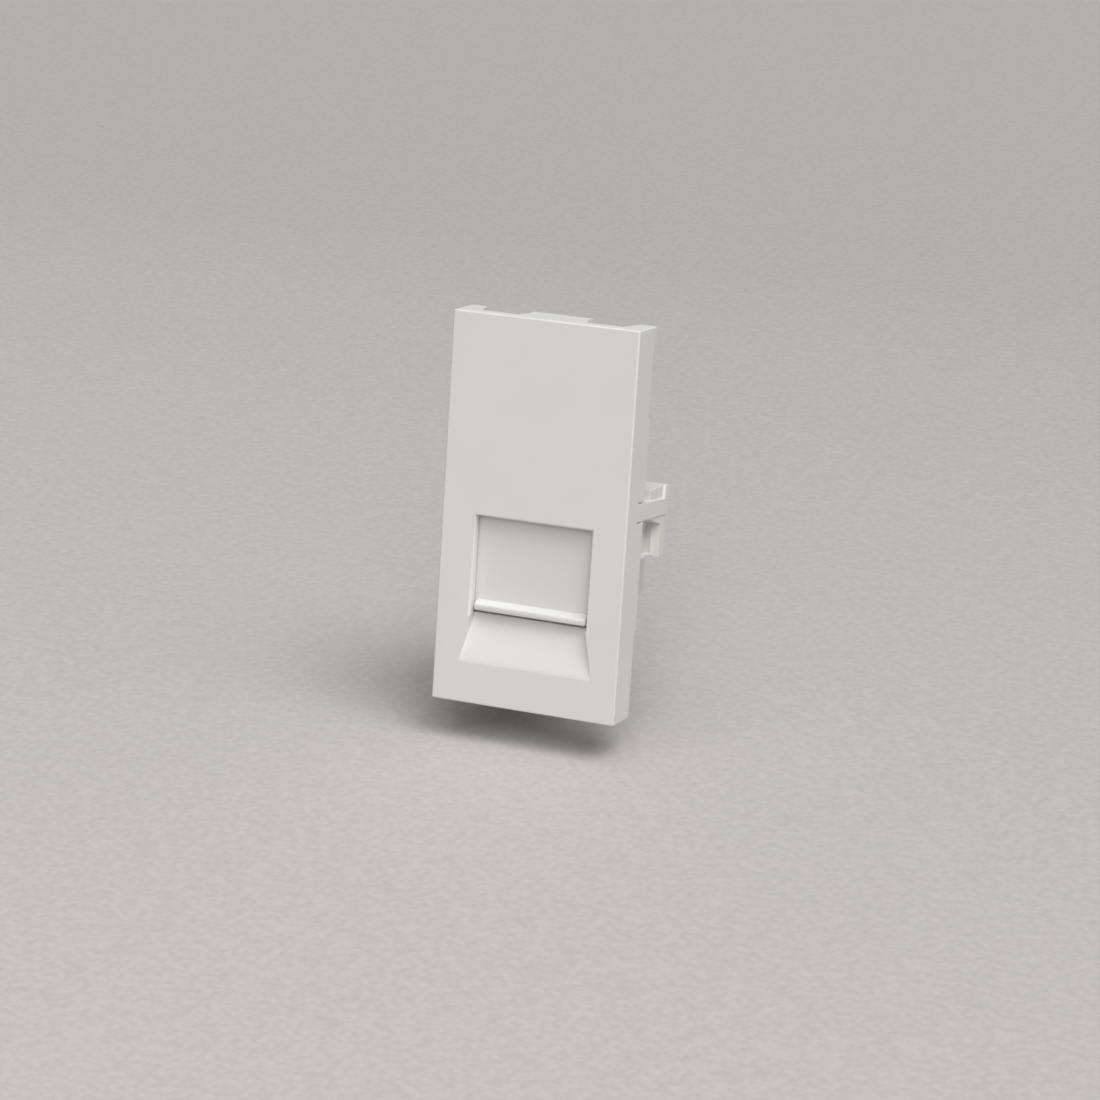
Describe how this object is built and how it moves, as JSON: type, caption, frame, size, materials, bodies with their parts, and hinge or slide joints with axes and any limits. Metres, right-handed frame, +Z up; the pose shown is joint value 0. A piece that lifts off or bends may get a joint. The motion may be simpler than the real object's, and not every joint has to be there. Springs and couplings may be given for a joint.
{
  "type": "telephone socket module",
  "caption": "Snap-in modular telephone socket insert with a sprung sliding shutter, finger ramp, rear carrier, six-position jack and screw terminals on a small board.",
  "frame": {"origin": "centre of the front plate's front face, which the support frame locates", "axes": "+X to the right seen from the front, +Y into the wall, +Z up"},
  "size_m": [0.0226, 0.0181, 0.045],
  "materials": {
    "plate_plastic": "fine satin moulded surface, warm white",
    "shutter_plastic": "fine satin moulded surface, warm white",
    "carrier_plastic": "plain moulded, off white",
    "jack_plastic": "plain moulded, pale grey",
    "comb_plastic": "plain moulded, black",
    "board_laminate": "solder-masked glass laminate, green",
    "terminal_plastic": "plain moulded, green",
    "contact_gilt": "thin gold plating over copper alloy wire",
    "bar_brass": "tin plated",
    "cage_plated": "nickel plated",
    "screw_zinc": "zinc plated",
    "spring_steel": "drawn wire",
    "solder": "reflowed, shiny"
  },
  "bodies": {
    "module": {"front_plate": "plate_plastic", "carrier": "carrier_plastic", "circuit_board": "board_laminate", "jack_housing": "jack_plastic", "contact_comb": "comb_plastic", "solder_joints": "solder", "terminal_housing": "terminal_plastic", "shutter_spring_left": "spring_steel", "shutter_spring_right": "spring_steel", "contact_wire_1": "contact_gilt", "contact_wire_2": "contact_gilt", "contact_wire_3": "contact_gilt", "contact_wire_4": "contact_gilt", "terminal_bar_1": "bar_brass", "terminal_bar_2": "bar_brass", "terminal_bar_3": "bar_brass", "terminal_bar_4": "bar_brass"},
    "shutter": {"shutter": "shutter_plastic"},
    "screw_1": {"terminal_screw_1": "screw_zinc"},
    "cage_1": {"terminal_cage_1": "cage_plated"},
    "screw_2": {"terminal_screw_2": "screw_zinc"},
    "cage_2": {"terminal_cage_2": "cage_plated"},
    "screw_3": {"terminal_screw_3": "screw_zinc"},
    "cage_3": {"terminal_cage_3": "cage_plated"},
    "screw_4": {"terminal_screw_4": "screw_zinc"},
    "cage_4": {"terminal_cage_4": "cage_plated"}
  },
  "joints": [
    {"name": "shutter_slide", "type": "slide", "parent": "module", "child": "shutter", "axis": [0, 0, 1], "range_m": [0, 0.00975], "stiffness_N_per_m": 30, "springref_m": -0.008, "deforming": ["shutter_spring_left", "shutter_spring_right"]},
    {"name": "screw_1_turn", "type": "hinge", "parent": "module", "child": "screw_1", "pos_m": [-0.00525, 0.0088, 0.007], "axis": [0, 0, -1], "range_deg": [0, 1440]},
    {"name": "cage_1_rise", "type": "slide", "parent": "module", "child": "cage_1", "axis": [0, 0, 1], "range_m": [0, 0.0016]},
    {"name": "screw_2_turn", "type": "hinge", "parent": "module", "child": "screw_2", "pos_m": [-0.00175, 0.0088, 0.007], "axis": [0, 0, -1], "range_deg": [0, 1440]},
    {"name": "cage_2_rise", "type": "slide", "parent": "module", "child": "cage_2", "axis": [0, 0, 1], "range_m": [0, 0.0016]},
    {"name": "screw_3_turn", "type": "hinge", "parent": "module", "child": "screw_3", "pos_m": [0.00175, 0.0088, 0.007], "axis": [0, 0, -1], "range_deg": [0, 1440]},
    {"name": "cage_3_rise", "type": "slide", "parent": "module", "child": "cage_3", "axis": [0, 0, 1], "range_m": [0, 0.0016]},
    {"name": "screw_4_turn", "type": "hinge", "parent": "module", "child": "screw_4", "pos_m": [0.00525, 0.0088, 0.007], "axis": [0, 0, -1], "range_deg": [0, 1440]},
    {"name": "cage_4_rise", "type": "slide", "parent": "module", "child": "cage_4", "axis": [0, 0, 1], "range_m": [0, 0.0016]}
  ],
  "couplings": [
    {"joint": "screw_1_turn", "follows": "cage_1_rise", "rad_per_m": 15708},
    {"joint": "screw_2_turn", "follows": "cage_2_rise", "rad_per_m": 15708},
    {"joint": "screw_3_turn", "follows": "cage_3_rise", "rad_per_m": 15708},
    {"joint": "screw_4_turn", "follows": "cage_4_rise", "rad_per_m": 15708}
  ]
}
